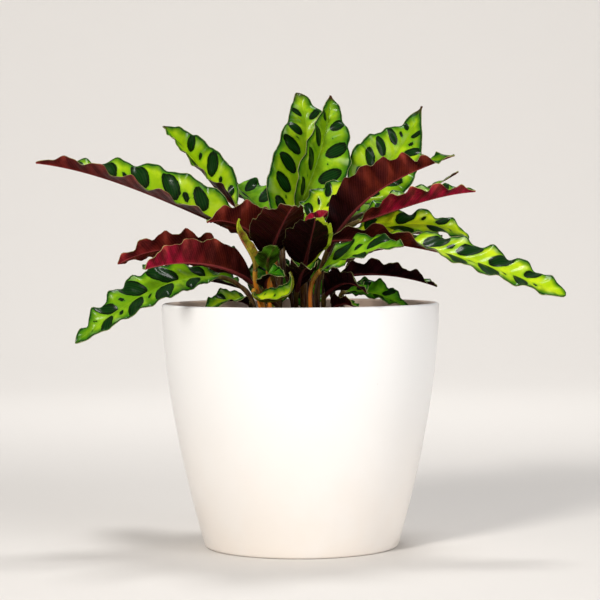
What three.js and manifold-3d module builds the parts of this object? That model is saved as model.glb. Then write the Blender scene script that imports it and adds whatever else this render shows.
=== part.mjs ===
// A calathea in a white pot: long waved leaves on thin stalks that stand in the soil.
// Millimetres, +Z up. The front view looks along +Y with +X to the right.
// The origin is the middle of the pot's flat base.
import * as THREE from "three";
import { mergeVertices } from "three/addons/utils/BufferGeometryUtils.js";
import Module from "manifold-3d";

// Pot
const POT_HEIGHT = 141;
const RIM_RADIUS = 80.3;
const BELLY = [78.8, 80]; // radius and height that the wall's curve is drawn towards
const FOOT_RADIUS = 56.5;
const FOOT_EDGE = 1.4; // rounding between the wall and the flat base
const WALL = 3.5;
const FLOOR = 4;
const AROUND = 48; // sides of the pot and of the soil
const WALL_STEPS = 7;
const RIM_STEPS = 4;

// Soil
const SOIL_TOP = 128;
const SOIL_CROWN = 2; // how much higher the soil stands in the middle
const GAP = 0.3; // between pieces that touch

// Leaves
const STALK_RADIUS = 1.15;
const STALK_DEPTH = 10; // of a stalk's foot in the soil
const STALK_STEPS = 5;
const STALK_RISE = 0.4; // how far a stalk leaves the soil straight up, as a share of its span
const STALK_REACH = 0.35; // and how far it runs in line with the blade
const HOLE_SIDES = 8;
const RIB = 0.5; // half the blade's thickness at the midrib
const EDGE = 0.42; // and at the margin
const RIB_SHARE = 0.45; // of the blade, over which the stalk thins out into the midrib
const BASE_SHARE = 0.34; // of the blade's length, over which it widens
const BASE_ROUND = 0.85;
const TIP_SHARE = 0.64; // and over which it narrows
const LEAST_HALF_WIDTH = 0.8;
const CUP = 0.12; // how far each half bulges, as a share of its width
const CALM_BASE = 0.15; // of the blade, where the waves begin
const CALM_TIP = 0.1; // and where they end
const WAVE_HOLD = 1.6; // how closely the waves keep to the margin
const SCALLOP = 0.75; // how far the margin runs out with a wave, as a share of the wave's height
const SWELL = 0.2; // how much the waves' height varies along a margin
const SWELL_RATE = 9;
const SWELL_SHIFT = 5;
const FIRST_RING = 0.02; // of the blade's length
const LAST_RING = 0.99;
const ACROSS = [-1, -0.5, 0, 0.5, 1]; // lines of points along the blade, as shares of its half width

// The points of a midrib are read from the front by a viewer this far from the axis and this high
const VIEW_DISTANCE = 1240;
const VIEW_HEIGHT = 183.5;
const SMALL_STEP = 1e-3; // along a midrib, as a share of its length
const SAME_POINT = 1e-4;
const HALVINGS = 30; // in the search for the wall's radius at a height

// Materials
const SATIN_WHITE = { color: "#f4f1ec", roughness: 0.4, metalness: 0 };
const EARTH = { color: "#3a2a20", roughness: 0.95, metalness: 0 };
const LEAF_GREEN = { color: "#6f9f22", roughness: 0.45, metalness: 0 };

// foot: where the stalk stands, as x and y.
// seen: the base, a third, two thirds and the tip of the midrib. Each is given in millimetres right
// and up, as seen on the plane through the axis, followed by its own depth y.
// width: of the blade laid flat.
// roll: turn of the blade about its midrib, left side up, in degrees from base to tip.
// fold: how far both halves lift from flat, in degrees from base to tip.
// waves: how many there are along a margin. wave: how high they are. phase: where they start.
// point: how slim the tip is.
// heading: direction of the leaf seen from above, where its midrib is too steep to tell.
const LEAVES = {
  left_long: {
    foot: [-13, -1], seen: [[-24, 177.5, -2], [-67, 196, -7], [-110, 213, -11.5], [-153, 223, -16]],
    width: 37, roll: [-42, -42, -18, 26], fold: [50, 48, 33, 25],
    waves: 7, wave: 1.9, phase: 0.4, point: 0.72,
  },
  left_short: {
    foot: [-19, -9], seen: [[-18, 174, -22], [-28, 182, -34], [-40, 188, -45], [-54, 188, -56]],
    width: 32, roll: [25, 30, 30], fold: [30, 30],
    waves: 4, wave: 1.6, phase: 0.1, point: 0.8,
  },
  left_upper: {
    foot: [-12, 6], seen: [[-36, 197, 16], [-51, 211, 28], [-65, 228.5, 40], [-79, 243.5, 52]],
    width: 31, roll: [5, -20, -29, -30, -30], fold: [55, 52, 52, 50, 42],
    waves: 5, wave: 1.3, phase: 0.7, point: 0.8,
  },
  left_back: {
    foot: [-12, 19], seen: [[-16, 187, 30], [-24, 197, 46], [-33, 205, 62], [-45, 212, 80]],
    width: 38, roll: [0, 0], fold: [25, 25],
    waves: 5, wave: 2.4, phase: 0.2, point: 0.8,
  },
  left_red: {
    foot: [-20, -16], seen: [[-28, 153, -24], [-49, 162.5, -46], [-71, 164.5, -68], [-90, 161, -90]],
    width: 28, roll: [35, 38, 38], fold: [38, 38],
    waves: 5, wave: 1.2, phase: 0.5, point: 0.5,
  },
  left_brown: {
    foot: [-22, -4], seen: [[-38, 163, -6], [-60, 171, -12], [-83, 172, -20], [-106, 164, -28]],
    width: 24, roll: [45, 45, 40], fold: [15, 15],
    waves: 6, wave: 2, phase: 0.8, point: 0.6,
  },
  left_droop: {
    foot: [-26, 6], seen: [[-46, 156, 8], [-75, 153, 0], [-103, 139, -8], [-131, 118, -14]],
    width: 31, roll: [-35, -35, -40], fold: [12, 12],
    waves: 7, wave: 2, phase: 0.3, point: 0.65,
  },
  left_low: {
    foot: [-29, -12], seen: [[-30, 141, -14], [-38, 143, -22], [-47, 141, -30], [-56, 136, -38]],
    width: 17, roll: [-20, -20], fold: [25, 25],
    waves: 3, wave: 1.2, phase: 0.6, point: 0.8,
  },
  top_left: {
    foot: [-4, 12], seen: [[-9, 178, 16], [-1, 207, 30], [4, 236, 42], [-2, 262.5, 54]],
    width: 42, roll: [0, 0], fold: [20, 20],
    waves: 5, wave: 1.8, phase: 0.1, point: 0.75, heading: 100,
  },
  top_right: {
    foot: [3, 6], seen: [[-3, 190, 12], [7, 214, 20], [14.5, 238, 28], [18, 261, 34]],
    width: 40, roll: [46, 44, 36], fold: [36, 34],
    waves: 5, wave: 1.6, phase: 0.45, point: 0.9, heading: 80,
  },
  right_upper: {
    foot: [8, 14], seen: [[30, 197, 28], [45, 215, 36], [59, 231, 44], [71, 254.5, 52]],
    width: 44, roll: [0, 0, -10, -40], fold: [25, 25, 20],
    waves: 5, wave: 1.8, phase: 0.9, point: 1.15, heading: 100,
  },
  right_brown: {
    foot: [10, -8], seen: [[16, 171, -13], [36, 198, -31], [61, 214.5, -46], [90, 226, -60]],
    width: 33, roll: [-16, -16, -16, -12, 70], fold: [58, 56, 50, 40],
    waves: 8, wave: 2.2, phase: 0.25, point: 1,
  },
  right_pink: {
    foot: [13, -3], seen: [[34, 188, 2], [56, 195, 6], [79, 201.5, 9], [102, 205, 11]],
    width: 27, roll: [0, 0, 5], fold: [40, 40],
    waves: 5, wave: 1.8, phase: 0.6, point: 0.8,
  },
  right_long: {
    foot: [8, -22], seen: [[13, 177, -26], [60, 174.5, -31], [108, 162, -38], [154, 144, -46]],
    width: 36, roll: [-20, -12, 0, 20, 26, 28, 30], fold: [24, 24, 22, 14, 12, 10, 8],
    waves: 8, wave: 1.8, phase: 0.15, point: 0.42,
  },
  right_over: {
    foot: [20, 2], seen: [[30, 179, 0], [50, 184.5, 3], [76, 185.5, 7], [98, 177.5, 11]],
    width: 27, roll: [30, 32], fold: [8, 8],
    waves: 5, wave: 1.9, phase: 0.35, point: 0.5,
  },
  right_near: {
    foot: [6, -50], seen: [[12, 159.5, -54], [26, 166.5, -60], [42, 171, -68], [60, 173.5, -80]],
    width: 40, roll: [30, 28, 22, 15], fold: [10, 10, 12],
    waves: 4, wave: 1.5, phase: 0.75, point: 0.8,
  },
  right_dark: {
    foot: [22, -8], seen: [[20, 155.5, -4], [40, 157.5, -10], [60, 155.5, -14], [79.5, 150, -20]],
    width: 19, roll: [-20, -20], fold: [35, 35],
    waves: 5, wave: 1.6, phase: 0.05, point: 0.8,
  },
  right_low: {
    foot: [25, -18], seen: [[26, 147, -22], [38, 147, -26], [50, 143.5, -29], [64, 137, -32]],
    width: 20, roll: [30, 30], fold: [20, 20],
    waves: 4, wave: 1.3, phase: 0.55, point: 0.8,
  },
  right_thin: {
    foot: [19, 11], seen: [[36, 192, 17], [56, 199, 24], [75, 207, 30], [92, 216.5, 36]],
    width: 14, roll: [-8, -8], fold: [5, 5],
    waves: 3, wave: 0.8, phase: 0.2, point: 0.8,
  },
  front_left: {
    foot: [-17, -23], seen: [[-18, 166, -34], [-14, 178, -56], [-9, 189, -80], [-4, 197, -104]],
    width: 32, roll: [0, 0], fold: [25, 25],
    waves: 4, wave: 1.1, phase: 0.3, point: 0.8,
  },
  front_right: {
    foot: [1, -20], seen: [[2, 160, -36], [4.5, 171, -56], [7, 181, -76], [9, 190, -94]],
    width: 30, roll: [0, 0], fold: [25, 25],
    waves: 4, wave: 1.1, phase: 0.85, point: 0.8,
  },
  centre_lime: {
    foot: [2, -6], seen: [[4, 184, -4], [11, 193, -2], [20, 203, 0], [30, 213, 2]],
    width: 26, roll: [35, 35], fold: [20, 20],
    waves: 4, wave: 1.5, phase: 0.4, point: 0.8,
  },
  centre_bud: {
    foot: [4, -12], seen: [[5, 181, -22], [8, 186, -25], [12, 190, -28], [16, 194, -32]],
    width: 13, roll: [-34, -34], fold: [40, 40],
    waves: 2, wave: 0.6, phase: 0.3, point: 0.8,
  },
  unrolling: {
    foot: [-22, -25], seen: [[-26, 160, -38], [-29, 170, -44], [-35, 180, -48], [-35, 190, -50]],
    width: 9, roll: [0, 60], fold: [60, 60],
    waves: 2, wave: 0.4, phase: 0, point: 0.8, heading: 180,
  },
  small_upper: {
    foot: [-13, -28], seen: [[-18, 160, -40], [-19, 165, -48], [-17, 170, -56], [-14, 174, -64]],
    width: 14, roll: [0, 0], fold: [20, 20],
    waves: 2, wave: 0.8, phase: 0.3, point: 0.8,
  },
  small_lower: {
    foot: [-8, -33], seen: [[-21, 150, -44], [-19, 156, -50], [-15, 158, -56], [-9, 156, -62]],
    width: 14, roll: [30, 30], fold: [20, 20],
    waves: 2, wave: 0.8, phase: 0.6, point: 0.8,
  },
  crescent: {
    foot: [-19, -36], seen: [[-27, 147, -44], [-19, 142, -50], [-7, 146, -56], [-6, 159, -62]],
    width: 16, roll: [30, 30], fold: [40, 40],
    waves: 2, wave: 0.5, phase: 0.1, point: 0.8, heading: 0,
  },
  front_low: {
    foot: [20, -36], seen: [[19, 137, -46], [23, 140, -52], [28, 140, -58], [34, 137, -63]],
    width: 13, roll: [-20, -20], fold: [30, 30],
    waves: 3, wave: 1, phase: 0.9, point: 0.8,
  },
  back_high: {
    foot: [4, 24], seen: [[6, 188, 44], [7, 212, 60], [8, 230, 76], [8, 240, 98]],
    width: 36, roll: [0, 0], fold: [25, 20],
    waves: 5, wave: 2, phase: 0.5, point: 0.8,
  },
  back_middle: {
    foot: [-3, 30], seen: [[-2, 168, 46], [1, 178, 70], [2, 178, 94], [0, 164, 116]],
    width: 34, roll: [0, 0], fold: [20, 15],
    waves: 6, wave: 2, phase: 0.15, point: 0.7,
  },
  back_right: {
    foot: [14, 24], seen: [[20, 178, 40], [32, 190, 60], [43, 195, 80], [53, 188, 104]],
    width: 36, roll: [0, 0], fold: [25, 20],
    waves: 6, wave: 2, phase: 0.7, point: 0.7,
  },
  back_left: {
    foot: [-20, 24], seen: [[-41, 162, 44], [-53, 167, 58], [-66, 163, 76], [-79, 149, 96]],
    width: 36, roll: [0, 0], fold: [20, 20],
    waves: 6, wave: 2, phase: 0.35, point: 0.7,
  },
  back_low_right: {
    foot: [6, 40], seen: [[4, 137, 54], [5, 147, 62], [6, 158, 71], [7, 169, 80]],
    width: 32, roll: [0, 0], fold: [15, 15],
    waves: 4, wave: 1.5, phase: 0.8, point: 0.7, heading: 80,
  },
  side_left: {
    foot: [-26, 16], seen: [[-36, 151, 26], [-53, 154.5, 40], [-70, 153.5, 54], [-84, 145, 70]],
    width: 30, roll: [0, 0], fold: [20, 20],
    waves: 5, wave: 1.8, phase: 0.6, point: 0.7,
  },
  back_low_left: {
    foot: [-12, 32], seen: [[-15, 138, 43], [-17, 150, 49], [-18, 163, 54], [-19, 176, 56]],
    width: 30, roll: [0, 0], fold: [15, 15],
    waves: 4, wave: 1.5, phase: 0.25, point: 0.7, heading: 100,
  },
  front_dark: {
    foot: [14, -40], seen: [[15, 146, -48], [22, 151, -58], [30, 152, -70], [39, 146, -82]],
    width: 20, roll: [-30, -30], fold: [25, 25],
    waves: 4, wave: 1.4, phase: 0.1, point: 0.8,
  },
  front_under: {
    foot: [-2, -36], seen: [[-2, 148, -48], [0.5, 157, -62], [3, 161, -78], [6, 160, -94]],
    width: 19, roll: [0, 0], fold: [25, 25],
    waves: 4, wave: 1.4, phase: 0.45, point: 0.8,
  },
  side_right: {
    foot: [24, 18], seen: [[34, 170, 26], [50, 178, 42], [66, 181, 58], [82, 178, 76]],
    width: 32, roll: [10, 10], fold: [20, 20],
    waves: 5, wave: 1.8, phase: 0.05, point: 0.7,
  },
};

const wasm = await Module();
wasm.setup();

// Pot and soil

// The wall's curve from rim to foot, moved in by inset
function wallCurve(inset) {
  return new THREE.QuadraticBezierCurve(
    new THREE.Vector2(RIM_RADIUS - inset, POT_HEIGHT - WALL / 2),
    new THREE.Vector2(BELLY[0] - inset, BELLY[1]),
    new THREE.Vector2(FOOT_RADIUS - inset, FOOT_EDGE),
  );
}

// Points down the wall, moved in by inset, that lie between two heights
function wallPoints(inset, top, bottom) {
  const points = wallCurve(inset).getPoints(WALL_STEPS);
  return points.filter((point) => point.y < top && point.y > bottom);
}

function radiusAt(inset, height) {
  const curve = wallCurve(inset);
  let low = 0;
  let high = 1;
  for (let i = 0; i < HALVINGS; i += 1) {
    const middle = (low + high) / 2;
    if (curve.getPoint(middle).y > height) low = middle;
    else high = middle;
  }
  return curve.getPoint(low).x;
}

function potProfile() {
  const profile = [new THREE.Vector2(0, 0), new THREE.Vector2(FOOT_RADIUS - FOOT_EDGE, 0)];
  profile.push(...wallPoints(0, POT_HEIGHT, 0).reverse());
  const rim = new THREE.Vector2(RIM_RADIUS - WALL / 2, POT_HEIGHT - WALL / 2);
  for (let i = 1; i < RIM_STEPS; i += 1) {
    const angle = (Math.PI * i) / RIM_STEPS;
    profile.push(new THREE.Vector2(Math.cos(angle), Math.sin(angle)).multiplyScalar(WALL / 2).add(rim));
  }
  profile.push(...wallPoints(WALL, POT_HEIGHT, FLOOR));
  profile.push(new THREE.Vector2(radiusAt(WALL, FLOOR), FLOOR), new THREE.Vector2(0, FLOOR));
  return profile;
}

function soilProfile() {
  const inset = WALL + GAP;
  const bottom = FLOOR + GAP;
  return [
    new THREE.Vector2(0, bottom),
    new THREE.Vector2(radiusAt(inset, bottom), bottom),
    ...wallPoints(inset, SOIL_TOP, bottom).reverse(),
    new THREE.Vector2(radiusAt(inset, SOIL_TOP), SOIL_TOP),
    new THREE.Vector2(RIM_RADIUS / 2, SOIL_TOP + SOIL_CROWN),
    new THREE.Vector2(0, SOIL_TOP + SOIL_CROWN),
  ];
}

// A profile turned about the Z axis
function turned(profile) {
  return new THREE.LatheGeometry(profile, AROUND).rotateX(Math.PI / 2);
}

function solidOf(geometry) {
  const bare = geometry.clone();
  bare.deleteAttribute("normal");
  bare.deleteAttribute("uv");
  const merged = mergeVertices(bare, SAME_POINT);
  const mesh = new wasm.Mesh({
    numProp: 3,
    vertProperties: Float32Array.from(merged.attributes.position.array),
    triVerts: Uint32Array.from(merged.index.array),
  });
  return new wasm.Manifold(mesh);
}

function geometryOf(solid) {
  const mesh = solid.getMesh();
  const geometry = new THREE.BufferGeometry();
  geometry.setAttribute("position", new THREE.BufferAttribute(mesh.vertProperties, 3));
  geometry.setIndex(new THREE.BufferAttribute(mesh.triVerts, 1));
  geometry.computeVertexNormals();
  return geometry;
}

// The soil with a plain hole for each stalk
function soilWithHoles() {
  let soil = solidOf(turned(soilProfile()));
  const radius = (STALK_RADIUS + GAP) / Math.cos(Math.PI / HOLE_SIDES);
  const depth = STALK_DEPTH + SOIL_CROWN + GAP;
  for (const { foot } of Object.values(LEAVES)) {
    const hole = new THREE.CylinderGeometry(radius, radius, 2 * depth, HOLE_SIDES).rotateX(Math.PI / 2);
    hole.translate(foot[0], foot[1], SOIL_TOP + SOIL_CROWN);
    soil = soil.subtract(solidOf(hole));
  }
  return geometryOf(soil);
}

// Leaves

function at([right, up, depth]) {
  const k = (VIEW_DISTANCE + depth) / VIEW_DISTANCE;
  return new THREE.Vector3(right * k, depth, VIEW_HEIGHT + (up - VIEW_HEIGHT) * k);
}

// The curve through four points that it meets at 0, 1/3, 2/3 and 1
function through(points, t) {
  const a = 3 * t - 1;
  const b = 3 * t - 2;
  const c = t - 1;
  return new THREE.Vector3()
    .addScaledVector(points[0], (-a * b * c) / 2)
    .addScaledVector(points[1], (9 * t * b * c) / 2)
    .addScaledVector(points[2], (-9 * t * a * c) / 2)
    .addScaledVector(points[3], (t * a * b) / 2);
}

// A value between those in a list that is spread evenly from base to tip
function along(values, t) {
  const place = t * (values.length - 1);
  const i = Math.min(Math.floor(place), values.length - 2);
  return values[i] + (values[i + 1] - values[i]) * (place - i);
}

function halfWidth(leaf, t) {
  const rise = Math.sin((Math.min(t / BASE_SHARE, 1) * Math.PI) / 2) ** BASE_ROUND;
  const fall = Math.sin((Math.min((1 - t) / TIP_SHARE, 1) * Math.PI) / 2) ** leaf.point;
  return Math.max((leaf.width / 2) * rise * fall, LEAST_HALF_WIDTH);
}

function waveHeight(leaf, t, side) {
  const calm = Math.min(1, t / CALM_BASE, (1 - t) / CALM_TIP);
  const turn = leaf.waves * t + leaf.phase + (side > 0 ? 0.5 : 0);
  const size = 1 - SWELL + SWELL * Math.sin(SWELL_RATE * t + SWELL_SHIFT * leaf.phase + side);
  return leaf.wave * calm * size * Math.cos(2 * Math.PI * turn);
}

// The directions along, left and up at t, before the blade's roll
function axes(leaf, points, t) {
  const forward = through(points, t + SMALL_STEP).sub(through(points, t - SMALL_STEP)).normalize();
  const span = points[3].clone().sub(points[0]);
  const heading = leaf.heading === undefined
    ? Math.atan2(span.y, span.x)
    : THREE.MathUtils.degToRad(leaf.heading);
  const left = new THREE.Vector3(-Math.sin(heading), Math.cos(heading), 0);
  left.addScaledVector(forward, -left.dot(forward)).normalize();
  return { forward, left, up: forward.clone().cross(left) };
}

// The axes at t, turned about the midrib by the blade's roll
function rolledAxes(leaf, points, t) {
  const { forward, left, up } = axes(leaf, points, t);
  const roll = THREE.MathUtils.degToRad(along(leaf.roll, t));
  left.applyAxisAngle(forward, roll);
  up.applyAxisAngle(forward, roll);
  return { forward, left, up };
}

// Points round the blade at t: its upper face from right to left, then its lower face back
function bladeRing(leaf, points, t) {
  const { left, up } = rolledAxes(leaf, points, t);
  const middle = through(points, t);
  const fold = THREE.MathUtils.degToRad(along(leaf.fold, t));
  const half = halfWidth(leaf, t);
  const stalk = Math.max(0, 1 - t / RIB_SHARE) ** 2;
  const rib = RIB + (STALK_RADIUS - RIB) * stalk;
  const faces = [1, -1].map((face) => ACROSS.map((share) => {
    const side = Math.sign(share);
    const out = Math.abs(share);
    const wave = waveHeight(leaf, t, side) * out ** WAVE_HOLD;
    const thick = face * (rib + (EDGE - rib) * out);
    const reach = half * out + SCALLOP * wave;
    const across = side * (reach * Math.cos(fold) - Math.sin(fold) * (wave + thick));
    const lift = reach * Math.sin(fold) + half * CUP * out * (1 - out) + Math.cos(fold) * wave;
    const rise = lift + (side === 0 ? thick : thick * Math.cos(fold));
    return middle.clone().addScaledVector(left, across).addScaledVector(up, rise);
  }));
  return [...faces[0], ...faces[1].reverse()];
}

function stalkRing(middle, left, up) {
  const ring = [];
  const sides = 2 * ACROSS.length;
  for (let i = 0; i < sides; i += 1) {
    const angle = Math.PI * (1 - (2 * i + 1) / sides);
    ring.push(middle.clone()
      .addScaledVector(left, Math.cos(angle) * STALK_RADIUS)
      .addScaledVector(up, Math.sin(angle) * STALK_RADIUS));
  }
  return ring;
}

// Rings up the stalk, from its foot in the soil to the base of the blade
function stalkRings(leaf, points) {
  const base = rolledAxes(leaf, points, 0);
  const ground = new THREE.Vector3(leaf.foot[0], leaf.foot[1], SOIL_TOP + SOIL_CROWN);
  const span = ground.distanceTo(points[0]);
  const curve = new THREE.CubicBezierCurve3(
    ground,
    ground.clone().add(new THREE.Vector3(0, 0, STALK_RISE * span)),
    points[0].clone().addScaledVector(base.forward, -STALK_REACH * span),
    points[0],
  );
  const places = [[ground.clone().setZ(SOIL_TOP - STALK_DEPTH), new THREE.Vector3(0, 0, 1)]];
  for (let i = 0; i <= STALK_STEPS; i += 1) {
    places.push([curve.getPoint(i / STALK_STEPS), curve.getTangent(i / STALK_STEPS)]);
  }
  return places.map(([middle, forward]) => {
    const left = base.left.clone().addScaledVector(forward, -base.left.dot(forward)).normalize();
    return stalkRing(middle, left, forward.clone().cross(left));
  });
}

// Places along the blade: each crest and trough of its waves, with the base and tip left out
function bladePlaces(leaf) {
  const places = [];
  const first = Math.ceil(2 * leaf.phase);
  for (let i = first; i <= 2 * (leaf.waves + leaf.phase); i += 1) {
    const t = (i / 2 - leaf.phase) / leaf.waves;
    if (t > FIRST_RING && t < LAST_RING) places.push(t);
  }
  return places;
}

// A closed skin over rings of points, ending in a tip.
// Both faces of the blade are cut along the same diagonals.
function skin(rings, tip) {
  const count = rings[0].length;
  const upper = count / 2;
  const triangles = [];
  for (let k = 1; k < count - 1; k += 1) triangles.push(0, k, k + 1);
  for (let i = 0; i + 1 < rings.length; i += 1) {
    for (let k = 0; k < count; k += 1) {
      const next = (k + 1) % count;
      const a = i * count + k;
      const b = a + count;
      const c = (i + 1) * count + next;
      const d = c - count;
      if (k < upper) triangles.push(a, b, c, a, c, d);
      else triangles.push(a, b, d, d, b, c);
    }
  }
  const last = (rings.length - 1) * count;
  for (let k = 0; k < count; k += 1) {
    triangles.push(last + k, rings.length * count, last + ((k + 1) % count));
  }
  const geometry = new THREE.BufferGeometry().setFromPoints([...rings.flat(), tip]);
  geometry.setIndex(triangles);
  geometry.computeVertexNormals();
  return geometry;
}

function leafGeometry(leaf) {
  const points = leaf.seen.map(at);
  const blade = bladePlaces(leaf).map((t) => bladeRing(leaf, points, t));
  return skin([...stalkRings(leaf, points), ...blade], points[3]);
}

// The whole plant

function piece(name, geometry, finish) {
  const mesh = new THREE.Mesh(geometry, new THREE.MeshStandardMaterial(finish));
  mesh.name = name;
  return mesh;
}

const plant = new THREE.Group();
plant.add(piece("pot", turned(potProfile()), SATIN_WHITE));
plant.add(piece("soil", soilWithHoles(), EARTH));
for (const [name, leaf] of Object.entries(LEAVES)) {
  plant.add(piece(`leaf_${name}`, leafGeometry(leaf), LEAF_GREEN));
}

export default plant;
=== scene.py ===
"""A calathea in a white pot: waved leaves, green with dark ovals above and maroon below, on thin stalks."""
import math
import random

import bpy
import numpy as np
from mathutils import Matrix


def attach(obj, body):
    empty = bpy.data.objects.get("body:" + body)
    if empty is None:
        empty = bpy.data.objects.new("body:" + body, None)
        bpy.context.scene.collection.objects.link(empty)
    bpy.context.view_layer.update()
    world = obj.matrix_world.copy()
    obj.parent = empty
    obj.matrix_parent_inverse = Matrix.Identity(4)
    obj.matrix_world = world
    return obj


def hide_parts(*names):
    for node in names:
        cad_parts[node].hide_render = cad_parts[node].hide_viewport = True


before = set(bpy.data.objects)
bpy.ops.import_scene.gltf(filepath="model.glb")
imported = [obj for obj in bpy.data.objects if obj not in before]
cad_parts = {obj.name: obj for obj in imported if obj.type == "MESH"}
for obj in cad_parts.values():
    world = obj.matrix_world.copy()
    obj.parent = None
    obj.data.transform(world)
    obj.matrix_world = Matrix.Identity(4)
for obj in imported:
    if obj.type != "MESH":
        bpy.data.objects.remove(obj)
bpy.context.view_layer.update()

MM = 0.001  # lengths below are in millimetres, and meshes in metres
SEED = 7

# Camera
VIEW_DISTANCE = 1240
VIEW_HEIGHT = 183.5
VIEW_PITCH = 0.033  # radians below level
VIEW_ROLL = 0.006
SENSOR = 36
LENS = 128.3
FAR_LIMIT = 20  # metres

# Stage
STAGE_RADIUS = 2600
STAGE_CURVE = 1300  # radius of the sweep from the floor to the wall
STAGE_SIDES = 96
STAGE_CURVE_STEPS = 12

# Lights, in metres and watts
LIGHTS = {
    "key_light": dict(place=(-0.85, -1.5, 1.2), aim=(0, 0, 0.16), size=0.45, power=31, tint=(1, 0.98, 0.95)),
    "fill_light": dict(place=(1.3, -1.2, 0.6), aim=(0, 0, 0.14), size=1.1, power=16, tint=(0.95, 0.97, 1)),
    "top_light": dict(place=(0.2, 0.3, 1.6), aim=(0, 0, 0.2), size=0.4, power=12, tint=(1, 1, 1)),
    "wall_light": dict(place=(0, 0.9, 1.3), aim=(0, 2.6, 0.5), size=1.6, power=17, tint=(1, 1, 1)),
}
SKY_TINT = (0.95, 0.96, 1)
SKY_STRENGTH = 0.28

# Pot, as in the construction model
POT_HEIGHT = 141
RIM_RADIUS = 80.3
BELLY = (78.8, 80)
FOOT_RADIUS = 56.5
FOOT_EDGE = 1.4
WALL = 3.5
FLOOR = 4

# Finer forms of the pot
POT_SIDES = 160
WALL_STEPS = 36
LIP_STEPS = 12
FOOT_ROUND = ((1.6, 0), (0.8, 0.12), (0.3, 0.4))  # in from the foot's radius and up, in foot edges
BOWL_ROUND = ((0.6, 1.6), (2.2, 0.4), (4.5, 0))  # in from the wall and up from the floor
BOWL_TOP = 3  # over the floor, where the wall starts to round into it

# Soil
SOIL_TOP = 128
SOIL_CROWN = 2
SOIL_GAP = 0.3

# Finer forms of the soil
SOIL_SIDES = 180
SOIL_RINGS = 59
SOIL_EDGE = 0.2  # more room at the wall
SOIL_SINK = 0.9  # so that the bumps stay about the soil's own height
SOIL_DEPTH = 12  # of what is shown of it
SOIL_TAPER = 1  # how far its lower edge draws in
BUMPS = 24  # waves that cross one another
BUMP_RATES = (0.06, 0.4)  # in radians per millimetre
TURN = (0, 6.28)  # any direction or shift, in radians
BUMP_HEIGHT = 0.55
BUMP_CALM = 2  # how far each bump is lowered
BUMP_FALL = 9  # and how much more for its rate, so that small bumps are the lowest
CRUMB_SPREAD = 2.5  # clear of the wall
CRUMB_LIFT = 0.2  # out of the soil, as a share of a crumb's size
CRUMB_STRETCH = (0.6, 1.15)  # of its corners
CRUMBS = dict(count=1500, sizes=(0.5, 1.7))
WHITE_GRAINS = dict(count=90, sizes=(0.5, 1.3))

# Leaves, as in the construction model
STALK_RADIUS = 1.15
STALK_DEPTH = 10
STALK_RISE = 0.4  # how far a stalk leaves the soil straight up, as a share of its span
STALK_REACH = 0.35  # and how far it runs in line with the blade
BASE_SHARE = 0.34  # of the blade's length, over which it widens
BASE_ROUND = 0.85
TIP_SHARE = 0.64  # and over which it narrows
LEAST_HALF_WIDTH = 0.8
CUP = 0.12  # how far each half bulges, as a share of its width
CALM_BASE = 0.15  # of the blade, where the waves begin
CALM_TIP = 0.1  # and where they end
WAVE_HOLD = 1.6  # how closely the waves keep to the margin
SCALLOP = 0.75  # how far the margin runs out with a wave, as a share of the wave's height
SWELL = 0.2  # how much the waves' height varies along a margin
SWELL_RATE = 9  # in radians over the blade's length
SWELL_SHIFT = 5
SMALL_STEP = 1e-3  # along a midrib, as a share of its length

# Finer forms of a leaf
HALF_ACROSS = (0.035, 0.08, 0.14, 0.22, 0.32, 0.43, 0.54, 0.65, 0.75, 0.84, 0.91, 0.96, 1)
ACROSS = np.array([-x for x in reversed(HALF_ACROSS)] + [0] + list(HALF_ACROSS))
RING_STEP = 1.25  # between rings along a blade
LENGTH_POINTS = 60  # at which a blade's length is measured
MORE_RINGS = 4  # for the shortest blades
LAST_RING = 0.995  # of the blade's length
STALK_RINGS = 16
BLADE_THICK = 0.24  # half the blade's thickness
MARGIN_THICK = 0.12
THIN_POWER = 6  # how near the margin the blade thins
RIB_TIP = 0.3  # radius of the midrib at the tip
RIB_POWER = 2.2  # how early the midrib thins
RIB_SPREAD = 1.15  # reach of the midrib below the blade, in its radii
GROOVE_DEPTH = 0.35  # of the groove over the midrib, in its radii
GROOVE_SPREAD = 0.9
RIPPLE = 0.35  # height of the small ripples on the margins
RIPPLE_RATE = 2.4  # ripples to a wave
RIPPLE_SHIFT = 3
PLEAT = 0.4  # height of the soft pleats between the side veins
PLEAT_STEP = 8.5
PLEAT_SHIFT = 2  # in radians, between the blade's halves
PLEAT_SLANT = 0.75  # how far a side vein runs forward, as a share of its way out
JOIN_SHARE = 0.06  # of the blade, over which the stalk opens into it
KNEE_LENGTH = 9  # of the thicker end of the stalk, next to the blade
KNEE_SWELL = 0.18

# Ovals on a leaf, as shares of the blade's length or half width there
OVAL_STEP = 19  # millimetres between large ovals on one side of the midrib
OVAL_SLANT = math.radians(42)
FIRST_OVAL = 0.13
LAST_OVAL = 0.93
OVAL_LONG = 0.47  # half the length of an oval
OVAL_SHORT = 0.24
OVAL_SIZES = (0.92, 1.08)
OVAL_OUT = 0.5  # from the midrib to an oval's middle
OVAL_LEAN = 0.35  # how far forward it lies for that
LEFT_SHIFT = 0.25  # of the left ones, as a share of their step
SMALL_OVAL = 0.36  # a small one's size
SMALL_OVAL_OUT = 0.34
SMALL_OVAL_CHANCE = 0.5
LEAST_OVAL_ROOM = 4  # millimetres of half width
NO_OVAL = -9  # millimetres: far outside any

CREST_POWER = 0.8  # how soon the light and dark of the waves starts on the way to the margin
VEIN_STEP = 1.7  # between the fine side veins
VEIN_WAVER = 1.2  # millimetres
UPPER, LOWER, STALK = 0, 1, 2  # material slots of a leaf

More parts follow.
